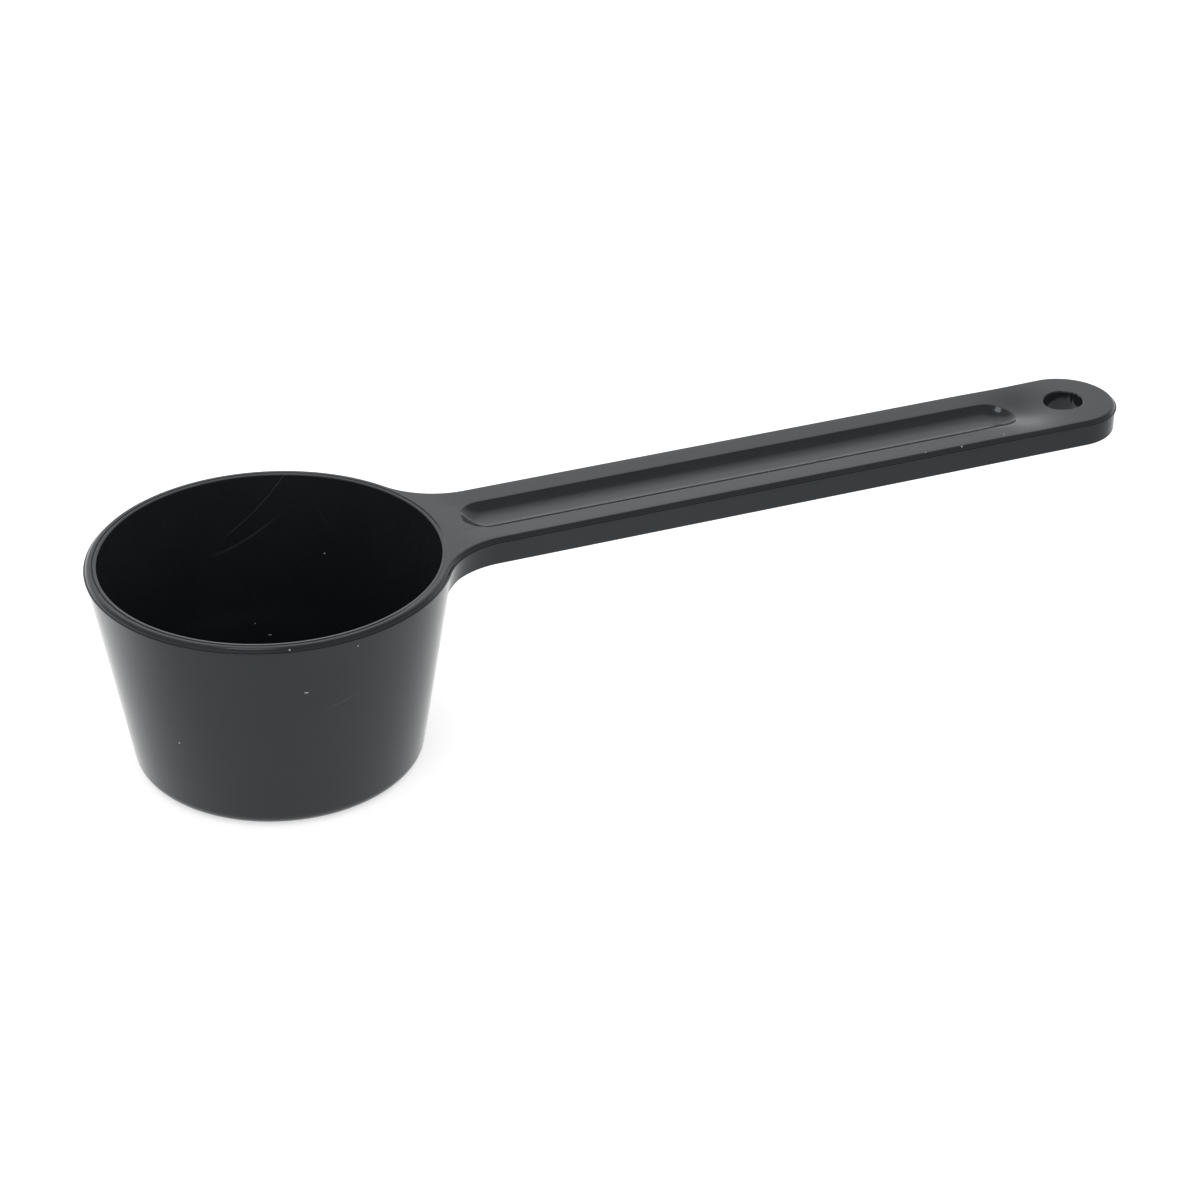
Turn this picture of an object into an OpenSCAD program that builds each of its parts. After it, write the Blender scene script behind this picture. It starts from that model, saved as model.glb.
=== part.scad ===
// Long-handled measuring scoop, moulded in one piece of black plastic.
//
// The origin is the middle of the cup's underside. +Z points up out of the cup and +X runs
// along the handle. The moulding is drawn as the regions that a mould maker would name, and
// they meet face to face: cup floor, cup wall, rim band, handle neck, handle bar, hang tab.

/* [Cup] */
// Diameter over the rim
rim_d = 45; // [42:0.5:60]
// Height from the table to the top of the rim
cup_h = 27.7; // [18:0.1:45]
// Diameter at which the sloping sides would meet the table
base_d = 35.8; // [28:0.2:39]
// Thickness of the cup's wall, measured level
wall_t = 1.5; // [1:0.1:2.4]
// Thickness of the cup's floor
floor_t = 1.5; // [1:0.1:3]
// Outer radius between the floor and the wall
base_r = 2; // [1:0.1:4]
// Inner radius between the floor and the wall
bowl_r = 1.8; // [0.5:0.1:4]

/* [Rim cap] */
// Depth of the cap, from its top down to the parting line
cap_h = 0.55; // [0.4:0.05:1]
// How far the cap stands out past the wall under it
cap_lip = 0.15; // [0.05:0.05:0.3]
// Rounding of the cap's outer edge, on the rim and on the handle
edge_r = 0.4; // [0.1:0.05:0.4]
// Rounding of the rim's inner edge
mouth_r = 0.4; // [0.1:0.05:0.6]

/* [Handle] */
// Distance from the cup's axis to the end of the handle
reach = 118; // [90:1:180]
// Width of the handle over its cap
handle_w = 14.2; // [11:0.1:20]
// Thickness of the handle
handle_t = 3.6; // [2.6:0.1:6]
// Radius in plan where the handle flows into the rim
neck_r = 10; // [6:0.5:16]

/* [Thumb groove] */
// Width of the groove along the handle
groove_w = 6.6; // [4:0.1:9]
// Depth of the groove along its middle
groove_depth = 1.4; // [0.5:0.1:1.6]
// Flat left between the rim's outside and the groove
groove_gap = 2.4; // [1:0.1:8]
// Distance from the groove's far end to the middle of the hang hole
groove_to_hole = 7.6; // [6:0.1:15]

/* [Hang hole] */
// Diameter of the hang hole
hole_d = 5.2; // [3:0.1:6.4]

/* [Hidden] */
plastic = [0.09, 0.095, 0.1];
$fn = 128;

rim_r = rim_d / 2;
wall_top_r = rim_r - cap_lip;
parting_z = cup_h - cap_h;
under_z = cup_h - handle_t;
slope = (wall_top_r - base_d / 2) / parting_z;
lean = atan(slope);
past = 1; // cutters run this far past what they cut
half_facet = 180 / $fn; // turns a round cutter so that a flat of it, not a corner, meets a plane

// The handle's round end is struck about the hang hole.
half_w = handle_w / 2;
hole_x = reach - half_w;

// The groove is a round bar laid along the handle, with ball ends.
groove_r = (pow(groove_w / 2, 2) + pow(groove_depth, 2)) / (2 * groove_depth);
groove_near_x = rim_r + groove_gap + groove_w / 2;
groove_far_x = hole_x - groove_to_hole - groove_w / 2;

// The neck's curves touch the handle's sides and bite into the rim by a tenth of the wall's
// thickness, so that the neck ends in a clean edge there.
neck_bite = wall_t / 10;
neck_y = half_w + neck_r;
neck_reach = rim_r + neck_r - neck_bite;
neck_x = sqrt(pow(neck_reach, 2) - pow(neck_y, 2));
low_neck_reach = wall_r(under_z) + neck_r + cap_lip - neck_bite;
low_neck_x = sqrt(pow(low_neck_reach, 2) - pow(neck_y, 2));

// Angles at the cup's axis, from the handle to the middle of a neck curve and to the point
// where that curve leaves the rim
neck_mid_angle = atan2(neck_y, neck_x);
rim_to_mid = acos((pow(rim_r, 2) + pow(neck_reach, 2) - pow(neck_r, 2)) / (2 * rim_r * neck_reach));
neck_edge_angle = neck_mid_angle - rim_to_mid;

// The tab starts midway between the groove's end and the hole's edge.
tab_x = hole_x - (groove_to_hole + hole_d / 2) / 2;

// Outer radius of the sloping wall at height z
function wall_r(z) = base_d / 2 + slope * z;

// Both sides of a flat shape, mirrored left to right
module mirrored_flat() {
    children();
    mirror([1, 0]) children();
}

// Both sides of a solid, mirrored across the handle's middle
module mirrored_solid() {
    children();
    mirror([0, 1, 0]) children();
}

// Half section of a cone that is x wide at level z, with its bottom corner rounded by r
module cone_section(x, z, r, top) {
    middle = [x - r * tan(45 - lean / 2), z + r];
    translate(middle) circle(r);
    polygon([
        [0, z], [middle[0], z], middle + r * [cos(lean), -sin(lean)],
        [x + slope * (top - z), top], [0, top]
    ]);
}

// Everything inside a level band of the half section
module level_band(low, high) {
    translate([0, low]) square([rim_d, high - low]);
}

// Outer half section of the cup below the parting line
module outside_section() {
    cone_section(base_d / 2, 0, base_r, parting_z);
}

// Half section of the bowl, with the rounded mouth
module bowl_section() {
    mouth_z = cup_h - mouth_r;
    mouth_x = wall_r(mouth_z) - wall_t + mouth_r;
    cone_section(wall_r(floor_t) - wall_t, floor_t, bowl_r, mouth_z);
    difference() {
        translate([0, mouth_z]) square([mouth_x, mouth_r + past]);
        translate([mouth_x, mouth_z]) circle(mouth_r);
    }
}

// What is cut away to round an outer top corner at x, z
module edge_cut_section(x, z, r) {
    difference() {
        translate([x - r, z - r]) square([r + past, r + past]);
        translate([x - r, z - r]) circle(r);
    }
}

// Wedge that opens from the cup's axis towards the handle, by an angle to each side, and
// stands on level 0
module wedge(angle, h) {
    side = neck_x * tan(angle);
    linear_extrude(h) polygon([[0, 0], [neck_x, -side], [neck_x, side]]);
}

// Full cross-section of the handle, with its top at level 0
module handle_section() {
    low_w = handle_w - 2 * cap_lip;
    difference() {
        union() {
            translate([-half_w, -cap_h]) square([handle_w, cap_h]);
            translate([-low_w / 2, -handle_t]) square([low_w, handle_t - cap_h]);
        }
        mirrored_flat() edge_cut_section(half_w, 0, edge_r);
    }
}

// Straight stretch of the handle between two distances from the cup
module handle_run(from, to) {
    translate([from, 0, cup_h]) rotate([90, 0, 90])
        linear_extrude(to - from) handle_section();
}

// What the groove takes away
module groove_cut() {
    translate([0, 0, cup_h - groove_depth + groove_r]) {
        translate([groove_near_x, 0, 0]) rotate([0, 90, 0])
            cylinder(h = groove_far_x - groove_near_x, r = groove_r);
        for (x = [groove_near_x, groove_far_x]) translate([x, 0, 0]) sphere(groove_r);
    }
}

// What the neck's curve takes from one side of the cap, with its rounded edge
module cap_curve_cut() {
    translate([neck_x, neck_y, cup_h]) rotate(half_facet) rotate_extrude() {
        translate([0, -cap_h - past]) square([neck_r, cap_h + 2 * past]);
        difference() {
            translate([neck_r - past, -edge_r]) square([edge_r + past, edge_r + past]);
            translate([neck_r + edge_r, -edge_r]) circle(edge_r);
        }
    }
}

// What the neck's curve takes from one side below the cap
module under_curve_cut() {
    translate([low_neck_x, neck_y, under_z - past])
        cylinder(h = handle_t + past, r = neck_r + cap_lip);
}

// Flat disc on which the scoop stands
module cup_floor() {
    color(plastic) rotate_extrude() intersection() {
        outside_section();
        level_band(0, floor_t);
    }
}

// Sloping side of the cup, from the floor up to the rim band
module cup_wall() {
    color(plastic) rotate_extrude() difference() {
        intersection() {
            outside_section();
            level_band(floor_t, under_z);
        }
        bowl_section();
    }
}

// Top of the cup, as deep as the handle, with the cap and its rounded mouth
module rim_band() {
    color(plastic) difference() {
        rotate_extrude() difference() {
            union() {
                intersection() {
                    outside_section();
                    level_band(under_z, parting_z);
                }
                translate([0, parting_z]) square([rim_r, cap_h]);
            }
            bowl_section();
        }
        difference() {
            rotate_extrude() edge_cut_section(rim_r, cup_h, edge_r);
            translate([0, 0, parting_z - past]) wedge(neck_edge_angle, cap_h + 2 * past);
        }
    }
}

// Upper layer of the neck, as deep as the cap
module neck_cap() {
    difference() {
        translate([0, 0, parting_z]) wedge(neck_mid_angle, cap_h);
        translate([0, 0, parting_z - past]) cylinder(h = cap_h + 2 * past, d = rim_d);
        mirrored_solid() cap_curve_cut();
    }
}

// Lower layer of the neck, from the parting line down to the handle's underside
module neck_under_cap() {
    difference() {
        translate([0, 0, parting_z]) mirror([0, 0, 1]) wedge(neck_mid_angle, handle_t - cap_h);
        rotate_extrude() cone_section(base_d / 2, 0, base_r, cup_h);
        mirrored_solid() under_curve_cut();
    }
}

// Part of the handle that flares into the rim
module handle_neck() {
    color(plastic) difference() {
        union() {
            neck_cap();
            neck_under_cap();
        }
        groove_cut();
    }
}

// Straight grip with the thumb groove
module handle_bar() {
    color(plastic) difference() {
        handle_run(neck_x, tab_x);
        groove_cut();
    }
}

// Round end of the handle with the hang hole
module hang_tab() {
    color(plastic) difference() {
        union() {
            handle_run(tab_x, hole_x);
            intersection() {
                translate([hole_x, 0, cup_h]) rotate_extrude() intersection() {
                    handle_section();
                    translate([0, -handle_t]) square([half_w, handle_t]);
                }
                translate([hole_x, -half_w, under_z]) cube([half_w, handle_w, handle_t]);
            }
        }
        translate([hole_x, 0, under_z - past]) cylinder(h = handle_t + 2 * past, d = hole_d);
    }
}

cup_floor();
cup_wall();
rim_band();
handle_neck();
handle_bar();
hang_tab();
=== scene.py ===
"""Looks of the long-handled measuring scoop: one moulding in satin black plastic.

Lengths of the scoop are in millimetres until its mesh is made. Those of the floor and the
camera are in metres. The frame is the CAD's: the origin is the middle of the cup's underside,
+Z is up and +X runs along the handle.
"""

import math

import bpy
import numpy as np
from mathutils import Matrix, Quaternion, Vector
from mathutils.geometry import delaunay_2d_cdt


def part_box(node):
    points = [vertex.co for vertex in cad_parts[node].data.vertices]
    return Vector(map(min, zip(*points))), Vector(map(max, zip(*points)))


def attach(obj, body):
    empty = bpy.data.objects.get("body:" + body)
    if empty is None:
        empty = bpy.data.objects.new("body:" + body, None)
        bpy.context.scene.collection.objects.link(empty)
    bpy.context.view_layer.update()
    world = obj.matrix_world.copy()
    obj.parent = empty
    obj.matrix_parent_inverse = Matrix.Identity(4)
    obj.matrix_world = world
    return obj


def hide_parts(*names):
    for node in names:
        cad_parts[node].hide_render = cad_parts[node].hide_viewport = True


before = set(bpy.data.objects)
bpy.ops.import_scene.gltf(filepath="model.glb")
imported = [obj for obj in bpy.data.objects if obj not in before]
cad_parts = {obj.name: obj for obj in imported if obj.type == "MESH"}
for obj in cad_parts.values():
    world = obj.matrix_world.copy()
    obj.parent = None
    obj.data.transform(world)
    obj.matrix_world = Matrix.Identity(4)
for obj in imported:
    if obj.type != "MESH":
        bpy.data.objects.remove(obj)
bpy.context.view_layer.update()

MM = 0.001  # metres in a millimetre

# Sizes that the CAD solids give
RIM_LOW, RIM_HIGH = (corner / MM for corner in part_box("rim_band"))
TAB_LOW, TAB_HIGH = (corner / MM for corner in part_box("hang_tab"))
RIM_R = -RIM_LOW.x
CUP_H = RIM_HIGH.z
UNDER_Z = TAB_LOW.z
HALF_W = TAB_HIGH.y
HOLE_X = TAB_HIGH.x - HALF_W
FLOOR_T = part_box("cup_floor")[1].z / MM

# Sizes of the cap and of the flash along its foot, round rim and handle alike
CAP_H = 0.62  # down to the underside of the flash
CAP_LIP = 0.15  # how far the cap stands out past the side under it
CAP_ROUND = 0.67  # how far in from its outer edge the cap starts to round off
CAP_TURN = math.radians(72)  # how steep the cap's edge is where it meets the flash
FLASH_W = 0.16
FLASH_T = 0.08
PARTING_Z = CUP_H - CAP_H

# Sizes of the cup
BASE_R = 17.9  # where the sloping sides would meet the table
WALL_T = 1.5
BASE_ROUND = 2.0  # outer radius between the floor and the wall
BOWL_ROUND = 1.8  # inner radius between the floor and the wall
SLOPE = (RIM_R - CAP_LIP - BASE_R) / PARTING_Z
LEAN = math.atan(SLOPE)

# Underside of the cup, from its corner inwards
FOOT_RING_W = 1.6
RECESS_H = 0.35
RECESS_EDGE_W = 0.5
GATE_H = 0.25  # height of the gate mark, and depth of the hollow that it stands in
GATE_SIDE = (0.8, 1.1)  # radii between which the gate mark falls away
HOLLOW_SIDE = (2.2, 3.0)  # radii between which its hollow runs out
RECESS_RADII = [9, 6, 4, 3.2, 3, 2.8, 2.6, 2.4, 2.2, 1.6, 1.2, 1.1, 1, 0.9, 0.8, 0.4, 0]

# Mouth of the bowl
LIP_LEAN = math.radians(9)  # slope of the bevel inside the mouth
LIP_R = 21.27  # where that bevel reaches the top
LIP_ROUNDS = (0.12, 0.08)  # rounding below and above the bevel
MOUTH_STRIP_W = 0.4  # strip round the mouth that holds the insert's line
MOUTH_LINE_GAP = 0.04  # between the bevel and that line
MOUTH_LINE_FAINT_AT = math.radians(-38)  # beside the neck, where the line is at its faintest
MOUTH_LINE_FAINTNESS = 0.85  # share of its depth that it loses there
MOUTH_NICKS = 0.03  # how far the line strays opposite the handle

# Sizes of the handle
NECK_R = 10.0
UNDER_ROUND = 0.3  # along the lower edge
UNDER_ROUND_GROWTH = (0.02, 1.2)  # gaps to the cup between which it grows to its full size
UNDER_FILLET = 0.8  # where the underside meets the cup
UNDER_FILLET_GROWTH = (0.02, 2.5)
HOLE_R = 2.6
HOLE_ROUND = 0.2
HOLE_FLASH = 0.1

# Thumb groove
GROOVE_HALF_W = 3.3
GROOVE_DEPTH = 1.15  # below the lands beside it, which have sunk a little themselves
GROOVE_NEAR_X = 28.2
GROOVE_FAR_X = 100.0
GROOVE_INNER_EDGE = 0.5  # how far inside the groove's side its closely drawn edge starts
GROOVE_EDGE = 0.5  # how far outside it that edge runs out into the land
GROOVE_SOFT = 0.07  # softens the corner between groove and land
GROOVE_LINE_OUT = 0.12  # from the groove's side to the insert's line
GROOVE_LINE_STOP = (90, 101)  # where along x that line fades out

# How the handle's top sank as it cooled. Each pair is where along x a change starts and ends.
LAND_TILT = math.tan(math.radians(2.4))
LAND_W = 3.4
LANDS_START = (21.8, 27)
LANDS_STOP = (97, 106)
DISH_DEPTH = 0.75
DISH_X = 104.6
DISH_SPREAD = (2.8, 3.0)  # along and across the handle
DISH_START = (90, 100)

# Fine lines that the mould's inserts leave
LINE_DEPTH = 0.15
LINE_HALF_W = 0.13

# How many rows a surface gets
ROUND_ROWS = 12
SMALL_ROUND_ROWS = 6
WALL_ROWS = 20
SIDE_ROWS = 9
MOUTH_STRIP_ROWS = 25
GROOVE_FLOOR_ROWS = 14
GROOVE_EDGE_ROWS = 44

# How many points each stretch gets along its rows
RIM_POINTS = 221
FRONT_POINTS = 48
NECK_POINTS = 32
SIDE_POINTS = 110
TAB_POINTS = 57
BOWL_POINTS = 256
GROOVE_END_POINTS = 41
GROOVE_SIDE_POINTS = 99
HOLE_POINTS = 64
SKIN_STEP = 0.75  # spacing of the points on the flat top and underside
WELD_DECIMALS = 4  # corners that agree to these decimals are one point


def ease(x, low, high):
    """Goes smoothly from 0 at low to 1 at high."""
    t = np.clip((x - low) / (high - low), 0.0, 1.0)
    return t * t * (3 - 2 * t)


def line_dip(offset):
    """Depth of a fine line, by how far a point is from its middle."""
    return LINE_DEPTH * (1 - ease(abs(offset), 0.0, LINE_HALF_W))


def wall_r(z):
    """Outer radius of the cup's sloping wall at height z."""
    return BASE_R + SLOPE * z


def sink(x, y):
    """How far the handle's top has sunk: lands that lean inwards, and a dish by the hole."""
    along = ease(x, *LANDS_START) * (1 - ease(x, *LANDS_STOP))
    lands = LAND_TILT * np.clip(HALF_W - CAP_ROUND - np.abs(y), 0, LAND_W) * along
    off_x = (x - DISH_X) / DISH_SPREAD[0]
    off_y = y / DISH_SPREAD[1]
    dish = DISH_DEPTH * np.exp(-(off_x**2) / 2 - (off_y**2) / 2)
    return lands + dish * ease(x, *DISH_START)


def top_z(x, y):
    """Height of the flat top of rim and handle."""
    return CUP_H - sink(x, y)


def turned(angle):
    """Unit vectors in plan at these angles."""
    return np.stack([np.cos(angle), np.sin(angle)], -1)


def on_line(x, y):
    """Points in plan at these x, with one y."""
    return np.stack([x, np.full_like(x, y)], -1)


def on_level(plan, z):
    """Points in plan lifted to height z."""
    return np.column_stack([plan, np.broadcast_to(z, len(plan))])


def ring(radius, z, angles):
    """Points round the cup's axis."""
    return on_level(turned(angles) * np.reshape(radius, (-1, 1)), z)


def neck_centre(cup_r, side, curve_r):
    """Middle of the neck's curve that touches both the cup and the handle's side."""
    across = side + curve_r
    return np.array([math.sqrt((cup_r + curve_r) ** 2 - across**2), across])


def plan_outline(cup_r, side, curve_r):
    """Points of cup and handle in plan, anticlockwise from the neck, and outward normals."""
    centre = neck_centre(cup_r, side, curve_r)
    leave = math.atan2(centre[1], centre[0])
    rim = turned(np.linspace(leave, 2 * math.pi - leave, RIM_POINTS))
    neck = -turned(np.linspace(-math.pi / 2, leave - math.pi, NECK_POINTS))
    run = np.linspace(HOLE_X, centre[0], SIDE_POINTS)[1:]
    tab = turned(np.linspace(-math.pi / 2, math.pi / 2, TAB_POINTS))
    far = np.concatenate([on_line(run, side), (centre - curve_r * neck)[1:]])
    far_normals = np.concatenate([np.tile([0.0, 1.0], (len(run), 1)), neck[1:]])
    mirror = np.array([1, -1])
    points = [rim * cup_r, far[-2::-1] * mirror, tab * side + [HOLE_X, 0], far[:-1]]
    normals = [rim, far_normals[-2::-1] * mirror, tab, far_normals[:-1]]
    return np.concatenate(points), np.concatenate(normals)


def is_inside(points, loop):
    """Which of these points in plan lie inside the loop."""
    x, y = points[:, 0], points[:, 1]
    inside = np.zeros(len(points), bool)
    for a, b in zip(loop[:, :2], np.roll(loop[:, :2], -1, 0)):
        if a[1] != b[1]:
            spans = (a[1] > y) != (b[1] > y)
            inside ^= spans & (x < a[0] + (y - a[1]) * (b[0] - a[0]) / (b[1] - a[1]))
    return inside


def spread_points(loops, step):
    """Staggered rows of points inside the first loop, clear of every loop's own points."""
    clear = 0.6 * step
    low, high = loops[0][:, :2].min(0), loops[0][:, :2].max(0)
    rows = []
    for i, y in enumerate(np.arange(low[1], high[1], step * math.sqrt(3) / 2)):
        stagger = i % 2 * step / 2
        rows.append(on_line(np.arange(low[0] + stagger, high[0], step), y))
    spots = np.concatenate(rows)
    spots = spots[is_inside(spots, loops[0])]
    for loop in loops:
        gap = np.full(len(spots), step)
        for point in loop[:, :2]:
            gap = np.minimum(gap, np.linalg.norm(spots - point, axis=1))
        spots = spots[gap > clear]
    return spots


class Skin:
    """Faces with a normal at each corner. Corners in one place are welded at the end."""

    def __init__(self):
        self.points, self.normals, self.faces = [], [], []
        self.count = 0

    def add(self, points, normals, faces):
        """Takes in faces whose corners are counted from the first of these points."""
        self.points.append(points)
        self.normals.append(normals)
        self.faces += [[self.count + i for i in face] for face in faces]
        self.count += len(points)

    def loft(self, row_at, steps, pole=(0, 0, 1), closed=True):
        """Adds the surface through the rows that row_at gives at these steps.

        Gives back its first and last row. The pole is the normal where a row has no width.
        """
        nudge = 1e-4
        rows = np.stack([row_at(t) for t in steps])
        down = np.stack([row_at(t + nudge) - row_at(t - nudge) for t in steps])
        if closed:
            across = np.roll(rows, -1, 1) - np.roll(rows, 1, 1)
        else:
            across = np.gradient(rows, axis=1)
        normals = np.cross(down, across)
        length = np.linalg.norm(normals, axis=-1, keepdims=True)
        normals = np.where(length > 1e-9, normals / np.maximum(length, 1e-9), pole)
        count, width = rows.shape[:2]
        faces = []
        for i in range(count - 1):
            for j in range(width if closed else width - 1):
                a, b = i * width + j, i * width + (j + 1) % width
                faces.append([a, a + width, b + width, b])
        self.add(rows.reshape(-1, 3), normals.reshape(-1, 3), faces)
        return rows[0], rows[-1]

    def fill(self, outer, holes, height_at, facing):
        """Triangles over a near-flat region with holes. It faces up for 1 and down for -1."""
        loops = [outer, *holes]
        borders = [loop[:, :2] for loop in loops]
        plan = np.concatenate([*borders, spread_points(loops, SKIN_STEP)])
        edges = []
        for loop in loops:
            start, size = len(edges), len(loop)
            edges += [(start + i, start + (i + 1) % size) for i in range(size)]
        found = delaunay_2d_cdt([Vector(point) for point in plan], edges, [], 0, 1e-6, True)
        spots, _, triangles, origins = found[:4]

        # The triangulation rounds its points, so each goes back to its own place.
        flat = np.array([spot[:] for spot in spots])
        for new, old in enumerate(origins):
            if old:
                flat[new] = plan[old[0]]
        triangles = np.array(triangles)
        middles = flat[triangles].mean(1)
        keep = is_inside(middles, outer)
        for hole in holes:
            keep &= ~is_inside(middles, hole)
        triangles = triangles[keep]

        x, y = flat.T
        nudge = 1e-3
        slope_x = (height_at(x + nudge, y) - height_at(x - nudge, y)) / (2 * nudge)
        slope_y = (height_at(x, y + nudge) - height_at(x, y - nudge)) / (2 * nudge)
        normals = np.stack([-slope_x, -slope_y, np.ones_like(x)], -1)
        normals *= facing / np.linalg.norm(normals, axis=1, keepdims=True)
        a, b, c = (flat[triangles[:, i]] for i in range(3))
        turn = (b - a)[:, 0] * (c - a)[:, 1] - (b - a)[:, 1] * (c - a)[:, 0]
        wrong = turn * facing < 0
        triangles[wrong] = triangles[wrong][:, ::-1]
        self.add(np.column_stack([flat, height_at(x, y)]), normals, triangles.tolist())

    def make(self, name):
        """The welded mesh as an object, in metres."""
        points = np.concatenate(self.points)
        normals = np.concatenate(self.normals)
        rounded = np.round(points, WELD_DECIMALS)
        _, first, welded = np.unique(rounded, axis=0, return_index=True, return_inverse=True)
        welded = welded.ravel()
        faces, corner_normals = [], []
        for face in self.faces:
            corners = [i for n, i in enumerate(face) if welded[i] != welded[face[n - 1]]]
            if len(corners) > 2:
                faces.append([int(welded[i]) for i in corners])
                corner_normals += [tuple(normals[i]) for i in corners]
        used = sorted({i for face in faces for i in face})
        place = {old: new for new, old in enumerate(used)}
        mesh = bpy.data.meshes.new(name)
        corners_at = (points[first[used]] * MM).tolist()
        mesh.from_pydata(corners_at, [], [[place[i] for i in face] for face in faces])
        mesh.polygons.foreach_set("use_smooth", [True] * len(faces))
        mesh.normals_split_custom_set(corner_normals)
        made = bpy.data.objects.new(name, mesh)
        bpy.context.scene.collection.objects.link(made)
        return made


def quarter(count, start=0.0):
    """Angles from start to a right angle."""
    return np.linspace(start, math.pi / 2, count)


def cap_rows(skin):
    """Rounded edge of the cap and the thin flash that the mould left along its foot."""
    plan, out = plan_outline(RIM_R, HALF_W, NECK_R)
    height = top_z(*(plan - out * CAP_ROUND).T)
    flash_z = PARTING_Z + FLASH_T

    def rounding(angle):
        inset = CAP_ROUND - (CAP_ROUND - FLASH_W) * math.sin(angle) / math.sin(CAP_TURN)
        fallen = (1 - math.cos(angle)) / (1 - math.cos(CAP_TURN))
        return on_level(plan - out * inset, height + (flash_z - height) * fallen)

    def flash_top(share):
        return on_level(plan - out * FLASH_W * (1 - share), flash_z)

    def flash_side(share):
        return on_level(plan, flash_z - FLASH_T * share)

    def flash_under(share):
        return on_level(plan - out * CAP_LIP * share, PARTING_Z)

    top, _ = skin.loft(rounding, np.linspace(0, CAP_TURN, ROUND_ROWS))
    for face in (flash_top, flash_side, flash_under):
        skin.loft(face, [0, 1])
    return top


def side_rows(skin):
    """Side of cup and handle together, from the parting line down to the handle's underside."""
    side = HALF_W - CAP_LIP
    low_plan, low_out = plan_outline(wall_r(UNDER_Z), side, NECK_R + CAP_LIP)
    gap = np.linalg.norm(low_plan, axis=1) - wall_r(UNDER_Z)
    round_r = UNDER_ROUND * ease(gap, *UNDER_ROUND_GROWTH)

    def wall(share):
        level = PARTING_Z * (1 - share) + UNDER_Z * share
        plan, _ = plan_outline(wall_r(level), side, NECK_R + CAP_LIP)
        return on_level(plan, level + round_r * share)

    def rounding(angle):
        plan = low_plan - low_out * (round_r * (1 - math.cos(angle)))[:, None]
        return on_level(plan, UNDER_Z + round_r * (1 - math.sin(angle)))

    skin.loft(wall, np.linspace(0, 1, SIDE_ROWS))
    _, low = skin.loft(rounding, quarter(SMALL_ROUND_ROWS))
    return low[RIM_POINTS - 1 :]


def fillet_under_neck(skin, leave):
    """Hollow rounding between the handle's underside and the cup, which thins out sideways.

    The neck's curves leave the cup at the angle leave, to both sides of the handle.
    """
    angles = np.linspace(-leave, leave, FRONT_POINTS)
    reach = wall_r(UNDER_Z) + NECK_R + CAP_LIP
    swing = leave - np.abs(angles)
    chord = np.maximum((NECK_R + CAP_LIP) ** 2 - (reach * np.sin(swing)) ** 2, 0)
    gap = reach * np.cos(swing) - np.sqrt(chord) - wall_r(UNDER_Z)
    fillet = UNDER_FILLET * ease(gap, *UNDER_FILLET_GROWTH)
    foot_z = UNDER_Z - fillet * (1 - math.sin(LEAN))
    middle_r = wall_r(foot_z) + fillet * math.cos(LEAN)

    def hollow(angle):
        turn = math.pi / 2 - angle
        radius = middle_r - fillet * math.cos(turn)
        return ring(radius, UNDER_Z - fillet * (1 - math.sin(turn)), angles)

    return skin.loft(hollow, np.linspace(0, math.pi / 2 - LEAN, 8), closed=False)


def cup_outside(skin, leave, foot):
    """Sloping wall below the handle, rounded corner, foot ring, recess and gate mark."""
    back = np.linspace(leave, 2 * math.pi - leave, RIM_POINTS)
    front = np.linspace(-leave, leave, FRONT_POINTS)[1:-1]
    angles = np.concatenate([back, front])
    start_z = np.concatenate([np.full(RIM_POINTS, UNDER_Z), foot[1:-1, 2]])
    corner_x = BASE_R - BASE_ROUND * math.tan(math.pi / 4 - LEAN / 2)
    corner_z = BASE_ROUND * (1 - math.sin(LEAN))

    def wall(share):
        z = start_z * (1 - share) + corner_z * share
        return ring(wall_r(z), z, angles)

    def corner(angle):
        radius = corner_x + BASE_ROUND * math.cos(angle)
        return ring(radius, BASE_ROUND * (1 - math.sin(angle)), angles)

    skin.loft(wall, np.linspace(0, 1, WALL_ROWS))
    skin.loft(corner, quarter(ROUND_ROWS, LEAN))
    foot_ring = corner_x - FOOT_RING_W

    def foot_face(share):
        return ring(corner_x + (foot_ring - corner_x) * share, 0, angles)

    def recess_edge(share):
        return ring(foot_ring - RECESS_EDGE_W * share, RECESS_H * ease(share, 0, 1), angles)

    def recess_face(minus_radius):
        # A loft's steps rise, and these rows run inwards.
        radius = -minus_radius
        gate = GATE_H * (1 - ease(radius, *GATE_SIDE))
        hollow = GATE_H * (1 - ease(radius, *HOLLOW_SIDE))
        return ring(radius, RECESS_H - (gate - hollow), angles)

    skin.loft(foot_face, [0, 1])
    skin.loft(recess_edge, np.linspace(0, 1, 9))
    radii = [foot_ring - RECESS_EDGE_W, *RECESS_RADII]
    skin.loft(recess_face, [-radius for radius in radii], pole=(0, 0, -1))


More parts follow.
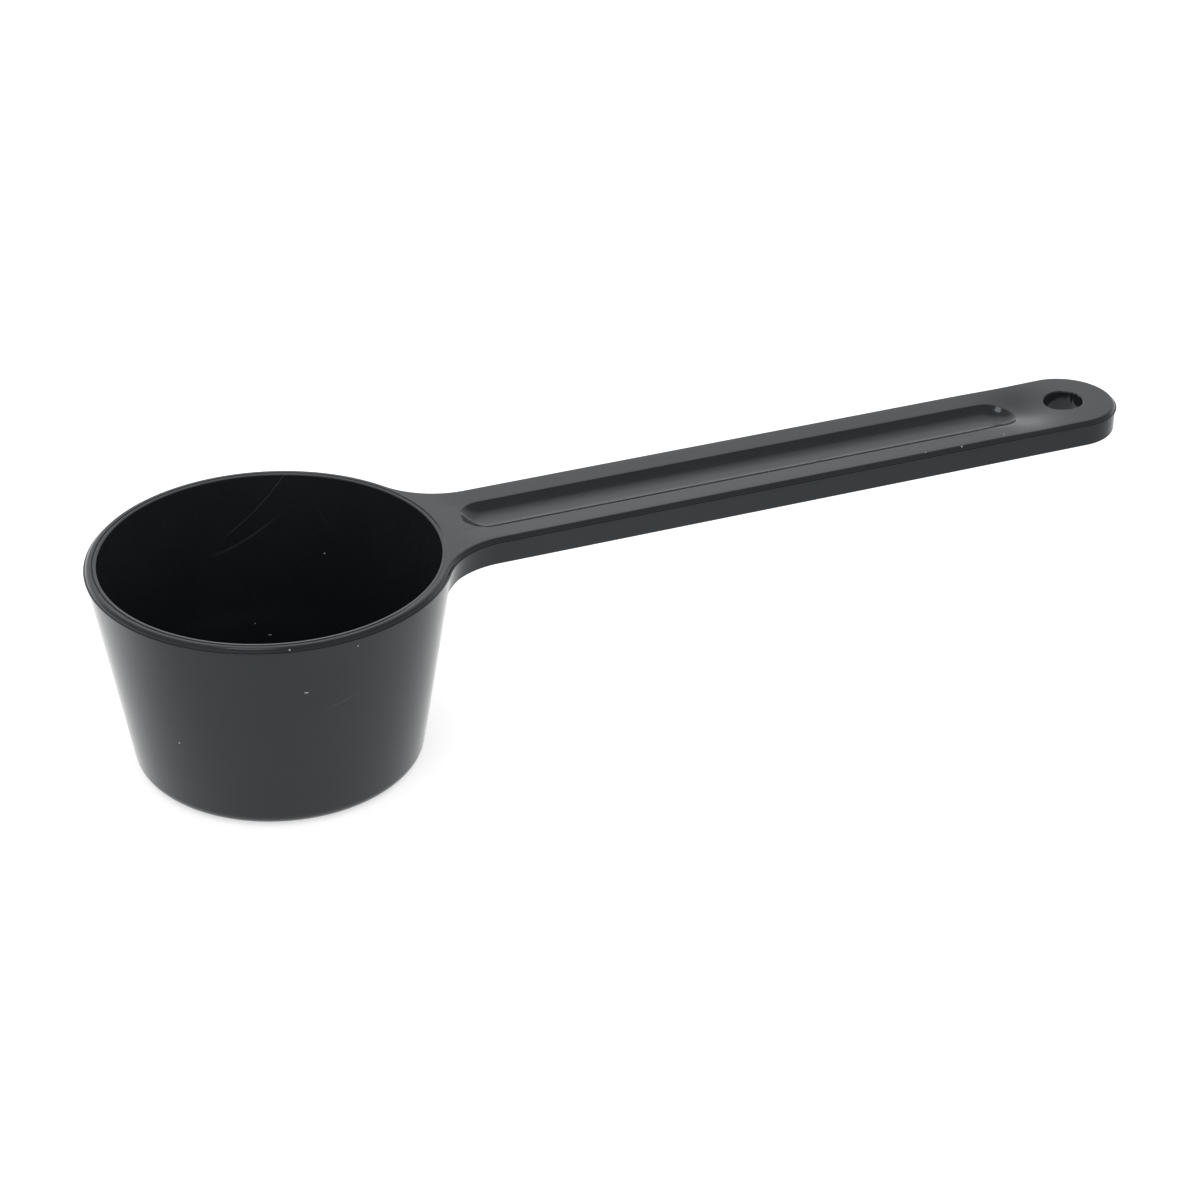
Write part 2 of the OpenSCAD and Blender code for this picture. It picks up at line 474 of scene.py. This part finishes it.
def bowl_inside(skin):
    """Floor, corner, sloping wall and bevelled mouth of the bowl, and the insert's line."""
    angles = np.linspace(0, 2 * math.pi, BOWL_POINTS, endpoint=False)
    inner = wall_r(FLOOR_T) - WALL_T
    corner_x = inner - BOWL_ROUND * math.tan(math.pi / 4 - LEAN / 2)
    corner_z = FLOOR_T + BOWL_ROUND

    # The line is faint beside the neck, and it has nicks opposite the handle.
    faint = ease(np.cos(angles - MOUTH_LINE_FAINT_AT), 0.75, 0.98)
    fade = 1 - MOUTH_LINE_FAINTNESS * faint
    nicks = np.random.default_rng(11).uniform(-1, 1, BOWL_POINTS) * MOUTH_NICKS
    nicks *= ease(-np.cos(angles), 0.8, 0.97)

    # The bevel's upper rounding is struck about one point, and its lower one about a point
    # from which the wall and the bevel are both a radius away.
    low_round, high_round = LIP_ROUNDS
    high_x, high_z = LIP_R, CUP_H - high_round
    more = high_round - low_round
    face_turn = math.pi / 2 - LIP_LEAN
    run = high_x - (BASE_R - WALL_T) - low_round - more * math.cos(face_turn)
    rise = math.tan(face_turn) * (high_z + more * math.sin(face_turn))
    low_z = (rise - run) / (math.tan(face_turn) - SLOPE)
    low_x = wall_r(low_z) - WALL_T + low_round

    def floor(radius):
        return ring(radius, FLOOR_T, angles)

    def corner(angle):
        radius = corner_x + BOWL_ROUND * math.sin(angle)
        return ring(radius, corner_z - BOWL_ROUND * math.cos(angle), angles)

    def wall(z):
        return ring(wall_r(z) - WALL_T, z, angles)

    def lip_low(angle):
        radius = low_x - low_round * math.cos(angle)
        return ring(radius, low_z + low_round * math.sin(angle), angles)

    def lip_high(angle):
        radius = high_x - high_round * math.cos(angle)
        return ring(radius, high_z + high_round * math.sin(angle), angles)

    def bevel(share):
        return lip_low(face_turn) * (1 - share) + lip_high(face_turn) * share

    def strip(radius):
        offset = radius - LIP_R - LINE_HALF_W - MOUTH_LINE_GAP - nicks
        return ring(radius, CUP_H - fade * line_dip(offset), angles)

    skin.loft(floor, np.linspace(0, corner_x, 8))
    skin.loft(corner, np.linspace(0, math.pi / 2 - LEAN, ROUND_ROWS))
    skin.loft(wall, np.linspace(corner_z - BOWL_ROUND * math.sin(LEAN), low_z, WALL_ROWS))
    skin.loft(lip_low, np.linspace(0, face_turn, SMALL_ROUND_ROWS))
    skin.loft(bevel, np.linspace(0, 1, 4))
    skin.loft(lip_high, quarter(5, face_turn))
    _, edge = skin.loft(strip, np.linspace(LIP_R, LIP_R + MOUTH_STRIP_W, MOUTH_STRIP_ROWS))
    return edge


def thumb_groove(skin):
    """The groove with its rounded edge and the insert's line beside it.

    Its rows are loops about a spine along the handle's middle. The cubic section gives it a
    flat floor and steeper sides.
    """
    ends = np.linspace(-math.pi / 2, math.pi / 2, GROOVE_END_POINTS)
    run = np.linspace(GROOVE_NEAR_X, GROOVE_FAR_X, GROOVE_SIDE_POINTS + 2)[1:-1]
    across = np.tile([0.0, 1.0], (GROOVE_SIDE_POINTS, 1))
    out = np.concatenate([turned(ends), across, turned(ends + math.pi), -across])
    far_x = np.full(GROOVE_END_POINTS, GROOVE_FAR_X)
    near_x = np.full(GROOVE_END_POINTS, GROOVE_NEAR_X)
    spine = on_line(np.concatenate([far_x, run[::-1], near_x, run]), 0)

    # The line shows on the -y side only, and it fades out before the far end.
    line_at = GROOVE_HALF_W + GROOVE_LINE_OUT
    line_x = spine[:, 0] + out[:, 0] * 3
    fade = ease(-out[:, 1], -0.3, 0.5) * (1 - ease(line_x, *GROOVE_LINE_STOP))
    start = GROOVE_HALF_W - GROOVE_INNER_EDGE
    stop = GROOVE_HALF_W + GROOVE_EDGE

    def depth_at(offset):
        below = GROOVE_DEPTH * (1 - (offset / GROOVE_HALF_W) ** 3)
        return (below + math.hypot(below, GROOVE_SOFT)) / 2

    def row(offset):
        plan = spine + out * offset
        depth = depth_at(offset) - depth_at(stop) * ease(offset, start, stop)
        line = fade * line_dip(offset - line_at)
        return on_level(plan, top_z(*plan.T) - depth - line)

    inside = np.linspace(0, start, GROOVE_FLOOR_ROWS)
    edge = np.linspace(start, stop, GROOVE_EDGE_ROWS)[1:]
    _, border = skin.loft(row, [*inside, *edge])
    return border


def hang_hole(skin):
    """Wall of the hang hole, rounded at both ends, with some flash towards the handle's end."""
    angles = np.linspace(0, 2 * math.pi, HOLE_POINTS, endpoint=False)
    rough = np.random.default_rng(7).uniform(-1, 1, HOLE_POINTS)
    flash = rough * ease(np.cos(angles), 0.55, 0.9) * HOLE_FLASH

    def circle(radius, share_of_flash):
        return turned(angles) * (radius - flash * share_of_flash)[:, None] + [HOLE_X, 0]

    def low(angle):
        plan = circle(HOLE_R + HOLE_ROUND * (1 - math.sin(angle)), 0)
        return on_level(plan, UNDER_Z + HOLE_ROUND * (1 - math.cos(angle)))

    def wall(share):
        plan = circle(HOLE_R, ease(share, 0.6, 1))
        top = top_z(*plan.T) - HOLE_ROUND
        return on_level(plan, (UNDER_Z + HOLE_ROUND) * (1 - share) + top * share)

    def high(angle):
        plan = circle(HOLE_R + HOLE_ROUND * (1 - math.cos(angle)), math.cos(angle))
        return on_level(plan, top_z(*plan.T) - HOLE_ROUND * (1 - math.sin(angle)))

    border_low, _ = skin.loft(low, quarter(SMALL_ROUND_ROWS))
    skin.loft(wall, np.linspace(0, 1, 7))
    _, border_high = skin.loft(high, quarter(SMALL_ROUND_ROWS))
    return border_low, border_high


def underside_z(x, y):
    """Height of the handle's flat underside."""
    return np.full_like(x, UNDER_Z)


def build_moulding():
    """The whole scoop as one closed skin."""
    skin = Skin()
    cap_top = cap_rows(skin)
    handle_low = side_rows(skin)
    centre = neck_centre(wall_r(UNDER_Z), HALF_W - CAP_LIP, NECK_R + CAP_LIP)
    leave = math.atan2(centre[1], centre[0])
    fillet_top, fillet_foot = fillet_under_neck(skin, leave)
    cup_outside(skin, leave, fillet_foot)
    mouth_edge = bowl_inside(skin)
    groove_edge = thumb_groove(skin)
    hole_low, hole_high = hang_hole(skin)
    skin.fill(cap_top, [mouth_edge, groove_edge, hole_high], top_z, 1)
    under_loop = np.concatenate([handle_low, fillet_top[::-1][:-1]])
    skin.fill(under_loop, [hole_low], underside_z, -1)
    return skin.make("scoop_moulding")


moulding = build_moulding()
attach(moulding, "root")
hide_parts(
    "cup_floor", "cup_wall", "rim_band", "handle_neck", "handle_bar", "hang_tab"
)


def ramp_between(tree, value, low, high, start, end):
    """Smooth step from start, where the value is low, to end, where it is high."""
    node = tree.nodes.new("ShaderNodeMapRange")
    node.interpolation_type = "SMOOTHSTEP"
    node.inputs["From Min"].default_value = low
    node.inputs["From Max"].default_value = high
    node.inputs["To Min"].default_value = start
    node.inputs["To Max"].default_value = end
    tree.links.new(value, node.inputs["Value"])
    return node.outputs["Result"]


def joined(tree, operation, *values):
    """Arithmetic on numbers and the outputs of other nodes."""
    node = tree.nodes.new("ShaderNodeMath")
    node.operation = operation
    for socket, value in zip(node.inputs, values):
        if isinstance(value, (int, float)):
            socket.default_value = value
        else:
            tree.links.new(value, socket)
    return node.outputs["Value"]


BLACK_DARK = (0.0112, 0.013, 0.0146)
BLACK_PALE = (0.013, 0.0149, 0.0168)
SCRATCH_GREY = (0.045, 0.047, 0.05)
LINT_GREY = (0.42, 0.43, 0.45)
COOL_TINT = (0.9, 0.955, 1, 1)  # of the reflections
SATIN_SMOOTH = 0.105
SATIN_ROUGH = 0.15
SCRATCH_STRENGTH = 0.45
SCRATCH_ROUGHER = 0.12
LINT_ROUGHER = 0.5
SCRATCH_HALF_W = (0.02, 0.07)  # distances in millimetres at which it is full and gone

# Centre and radius of each fine scratch, then the middle and reach of the part that shows
SCRATCHES = [
    ((-14, 34, 44), 31.0, (6, 20, 23), 9.0),
    ((30, 2, 40), 29.0, (9, 19, 20), 6.0),
    ((4, -30, 12), 50.0, (4, 20, 16), 8.0),
    ((-30, 8, 2), 38.0, (6, 3, 1.5), 9.0),
    ((18, -32, 20), 36.0, (14, 4, 1.5), 6.0),
    ((60, 40, 30), 43.5, (72, -2, 27), 5.0),
    ((0, -60, 30), 41.0, (3, -20, 15), 5.0),
    ((90, -30, 0), 39.0, (80, 5, 27), 5.0),
]


def black_plastic():
    """Satin black polypropylene with slight unevenness, fine scratches and specks of lint."""
    material = bpy.data.materials.new("black_plastic")
    material.use_nodes = True
    tree = material.node_tree
    nodes, links = tree.nodes, tree.links
    shader = nodes["Principled BSDF"]
    shader.inputs["IOR"].default_value = 1.5
    shader.inputs["Specular Tint"].default_value = COOL_TINT
    place = nodes.new("ShaderNodeTexCoord").outputs["Object"]

    def noise(size, detail=2.0):
        """Cloudy value about 0.5, with lumps of this size in millimetres."""
        node = nodes.new("ShaderNodeTexNoise")
        node.inputs["Scale"].default_value = 1 / (size * MM)
        node.inputs["Detail"].default_value = detail
        links.new(place, node.inputs["Vector"])
        return node.outputs["Fac"]

    def blend(amount, start, end):
        node = nodes.new("ShaderNodeMix")
        node.data_type = "RGBA"
        links.new(amount, node.inputs["Factor"])
        for socket, colour in ((node.inputs[6], start), (node.inputs[7], end)):
            if isinstance(colour, tuple):
                socket.default_value = (*colour, 1)
            else:
                links.new(colour, socket)
        return node.outputs[2]

    def specks(spacing, radius, share, stretch=(1, 1, 1)):
        """Dots of this radius in a share of the cells of a loose grid."""
        # The grid is turned, so that no row of its cells runs along a face.
        turn = nodes.new("ShaderNodeMapping")
        turn.inputs["Scale"].default_value = stretch
        turn.inputs["Rotation"].default_value = (0.3, 0.5, 0.9)
        links.new(place, turn.inputs["Vector"])
        cells = nodes.new("ShaderNodeTexVoronoi")
        cells.inputs["Scale"].default_value = 1 / (spacing * MM)
        links.new(turn.outputs["Vector"], cells.inputs["Vector"])
        near = radius / spacing
        dot = ramp_between(tree, cells.outputs["Distance"], near * 0.6, near, 1, 0)
        pick = nodes.new("ShaderNodeSeparateColor")
        links.new(cells.outputs["Color"], pick.inputs["Color"])
        chosen = joined(tree, "GREATER_THAN", pick.outputs["Red"], 1 - share)
        return joined(tree, "MULTIPLY", dot, chosen)

    def distance_to(point):
        node = nodes.new("ShaderNodeVectorMath")
        node.operation = "DISTANCE"
        node.inputs[1].default_value = Vector(point) * MM
        links.new(place, node.inputs[0])
        return node.outputs["Value"]

    def scratch(centre, radius, middle, reach):
        """Hair-fine arc round a centre, seen only within reach of its middle."""
        past = joined(tree, "SUBTRACT", distance_to(centre), radius * MM)
        off = joined(tree, "ABSOLUTE", past)
        core, edge = SCRATCH_HALF_W
        line = ramp_between(tree, off, core * MM, edge * MM, 1, 0)
        near = ramp_between(tree, distance_to(middle), reach * 0.5 * MM, reach * MM, 1, 0)
        return joined(tree, "MULTIPLY", line, near)

    def bump(height, depth, normal=None):
        """Relief of this depth in millimetres, on top of another one where there is one."""
        node = nodes.new("ShaderNodeBump")
        node.inputs["Distance"].default_value = depth * MM
        links.new(height, node.inputs["Height"])
        if normal is not None:
            links.new(normal, node.inputs["Normal"])
        return node.outputs["Normal"]

    round_lint = specks(spacing=3, radius=0.13, share=0.35)
    long_lint = specks(spacing=3.6, radius=0.12, share=0.3, stretch=(0.35, 1, 1))
    lint = joined(tree, "MAXIMUM", round_lint, long_lint)
    scuffs = scratch(*SCRATCHES[0])
    for mark in SCRATCHES[1:]:
        scuffs = joined(tree, "MAXIMUM", scuffs, scratch(*mark))

    clouds = ramp_between(tree, noise(size=9), 0.3, 0.7, 0, 1)
    plastic = blend(clouds, BLACK_DARK, BLACK_PALE)
    scuffed = blend(joined(tree, "MULTIPLY", scuffs, SCRATCH_STRENGTH), plastic, SCRATCH_GREY)
    links.new(blend(lint, scuffed, LINT_GREY), shader.inputs["Base Color"])

    patches = noise(size=2.2, detail=4)
    satin = ramp_between(tree, patches, 0.25, 0.75, SATIN_SMOOTH, SATIN_ROUGH)
    worn = joined(tree, "ADD", satin, joined(tree, "MULTIPLY", scuffs, SCRATCH_ROUGHER))
    dusty = joined(tree, "ADD", worn, joined(tree, "MULTIPLY", lint, LINT_ROUGHER))
    links.new(dusty, shader.inputs["Roughness"])

    sag = bump(noise(size=7, detail=1), depth=0.015)
    grain = bump(noise(size=0.5, detail=1), depth=0.0016, normal=sag)
    marks = bump(joined(tree, "SUBTRACT", lint, scuffs), depth=0.02, normal=grain)
    links.new(marks, shader.inputs["Normal"])
    return material


moulding.data.materials.append(black_plastic())


FLOOR_HALF = 3.0  # in metres
FLOOR_ALBEDO = 0.85  # of the floor that the camera and the soft light see
FLOOR_GLOW = 0.55  # lifts the floor that the camera sees to white
FLOOR_FRONT = 0.88  # level of the painted light that reflections see on the floor, in front of the scoop
FLOOR_BACK = 1.35  # the same, behind the scoop
FLOOR_RIGHT = 0.75  # what is left of it towards the end of the handle
FRONT_TO_BACK = (-0.02, 0.03)  # where along y, in metres, the one level turns to the other
LEFT_TO_RIGHT = (0.05, 0.15)  # where along x, in metres, it falls off


def in_reflections(tree):
    """1 for rays that show the surroundings in plastic, metal or glass, and 0 for others."""
    path = tree.nodes.new("ShaderNodeLightPath").outputs
    return joined(tree, "MAXIMUM", path["Is Glossy Ray"], path["Is Transmission Ray"])


def pale_floor():
    """Wide plain floor. Reflections see painted light on it instead of its lit colour: an
    emission that is bright behind the scoop and dimmer in front and towards the handle's end.
    """
    half = FLOOR_HALF
    mesh = bpy.data.meshes.new("floor")
    corners = [(-half, -half, 0), (half, -half, 0), (half, half, 0), (-half, half, 0)]
    mesh.from_pydata(corners, [], [(0, 1, 2, 3)])
    floor = bpy.data.objects.new("floor", mesh)
    bpy.context.scene.collection.objects.link(floor)
    material = bpy.data.materials.new("pale_floor")
    material.use_nodes = True
    tree = material.node_tree
    nodes, links = tree.nodes, tree.links
    shader = nodes["Principled BSDF"]
    shader.inputs["Roughness"].default_value = 0.9
    shader.inputs["Specular IOR Level"].default_value = 0.0
    shader.inputs["Emission Color"].default_value = (1, 1, 1, 1)
    place = nodes.new("ShaderNodeSeparateXYZ")
    links.new(nodes.new("ShaderNodeTexCoord").outputs["Object"], place.inputs["Vector"])
    mirrored = in_reflections(tree)
    # Painted light: the floor's emission in reflections, brighter behind the scoop, dimmer in
    # front and to the right
    behind = ramp_between(tree, place.outputs["Y"], *FRONT_TO_BACK, FLOOR_FRONT, FLOOR_BACK)
    to_right = ramp_between(tree, place.outputs["X"], *LEFT_TO_RIGHT, 1, FLOOR_RIGHT)
    painted_floor_light = joined(tree, "MULTIPLY", joined(tree, "MULTIPLY", behind, to_right), mirrored)
    to_camera = nodes.new("ShaderNodeLightPath").outputs["Is Camera Ray"]
    open_floor = joined(tree, "MULTIPLY", to_camera, FLOOR_GLOW)
    links.new(joined(tree, "ADD", painted_floor_light, open_floor), shader.inputs["Emission Strength"])
    albedo = joined(tree, "MULTIPLY_ADD", mirrored, -FLOOR_ALBEDO, FLOOR_ALBEDO)
    links.new(albedo, shader.inputs["Base Color"])
    mesh.materials.append(material)


pale_floor()


BACKDROP_AIM = (0.383, 0.919, 0.087)  # level with the camera's aim, five degrees up
BACKDROP_RIGHT = (0.923, -0.385, 0)  # level, and square to that aim
BACKDROP_EDGE = 62  # angle in degrees from that aim at which the backdrop ends
BACKDROP_SOFT = 9  # how far that edge spreads to both sides
BACKDROP_LIGHT = 1.15
BACKDROP_FALL = 0.7  # what is left of it at its right
FALL_SPAN = (-0.05, 0.28)  # how far to the right it starts to fall, and is down to that
HORIZON_LIGHT = 1.3  # how much brighter it is low down
HORIZON_SPAN = (0.1, 0.42)  # height of a ray at which that ends
ROOM_LIGHT = 0.55
SOFTBOX_AIM = (-0.21, -0.15, 0.966)  # small lamp high on the camera's side
SOFTBOX_RIM = (10, 9)  # angles in degrees from its aim at which it starts and is full
SOFTBOX_LIGHT = 3.2


def studio_world():
    """Plain soft light. Reflections see a bright backdrop behind the scoop and a dim room."""
    world = bpy.data.worlds.new("studio")
    world.use_nodes = True
    bpy.context.scene.world = world
    tree = world.node_tree
    nodes, links = tree.nodes, tree.links
    where = nodes.new("ShaderNodeTexCoord").outputs["Generated"]

    def towards(aim):
        node = nodes.new("ShaderNodeVectorMath")
        node.operation = "DOT_PRODUCT"
        node.inputs[1].default_value = aim
        links.new(where, node.inputs[0])
        return node.outputs["Value"]

    ends = (BACKDROP_EDGE + BACKDROP_SOFT, BACKDROP_EDGE - BACKDROP_SOFT)
    edge = [math.cos(math.radians(angle)) for angle in ends]
    backdrop = ramp_between(tree, towards(BACKDROP_AIM), *edge, ROOM_LIGHT, BACKDROP_LIGHT)
    fallen = ramp_between(tree, towards(BACKDROP_RIGHT), *FALL_SPAN, 1, BACKDROP_FALL)
    low = ramp_between(tree, towards((0, 0, 1)), *HORIZON_SPAN, HORIZON_LIGHT, 1)
    shaded = joined(tree, "MULTIPLY", joined(tree, "MULTIPLY", backdrop, fallen), low)
    rim = [math.cos(math.radians(angle)) for angle in SOFTBOX_RIM]
    softbox = ramp_between(tree, towards(SOFTBOX_AIM), *rim, 0, SOFTBOX_LIGHT)
    level = nodes.new("ShaderNodeMix")
    level.inputs["A"].default_value = 1.0
    links.new(in_reflections(tree), level.inputs["Factor"])
    links.new(joined(tree, "ADD", shaded, softbox), level.inputs["B"])
    links.new(level.outputs["Result"], nodes["Background"].inputs["Strength"])
    nodes["Background"].inputs["Color"].default_value = (1, 1, 1, 1)


studio_world()


CAMERA_PLACE = (-0.08789, -0.30857, 0.20655)
CAMERA_AIM = (0.33894, 0.79543, -0.50241)
CAMERA_ROLL = math.radians(0.3)
CAMERA_LENS = 90.19


def photo_camera():
    """Camera that was fitted to the photo."""
    lens = bpy.data.cameras.new("camera")
    lens.lens = CAMERA_LENS
    lens.sensor_width = 36
    lens.clip_start = 0.01
    lens.clip_end = 20
    camera = bpy.data.objects.new("camera", lens)
    camera.location = CAMERA_PLACE
    camera.rotation_mode = "QUATERNION"
    aim = Vector(CAMERA_AIM).to_track_quat("-Z", "Y")
    camera.rotation_quaternion = aim @ Quaternion((0, 0, 1), CAMERA_ROLL)
    bpy.context.scene.collection.objects.link(camera)
    bpy.context.scene.camera = camera


photo_camera()
bpy.context.scene.view_settings.view_transform = "Standard"
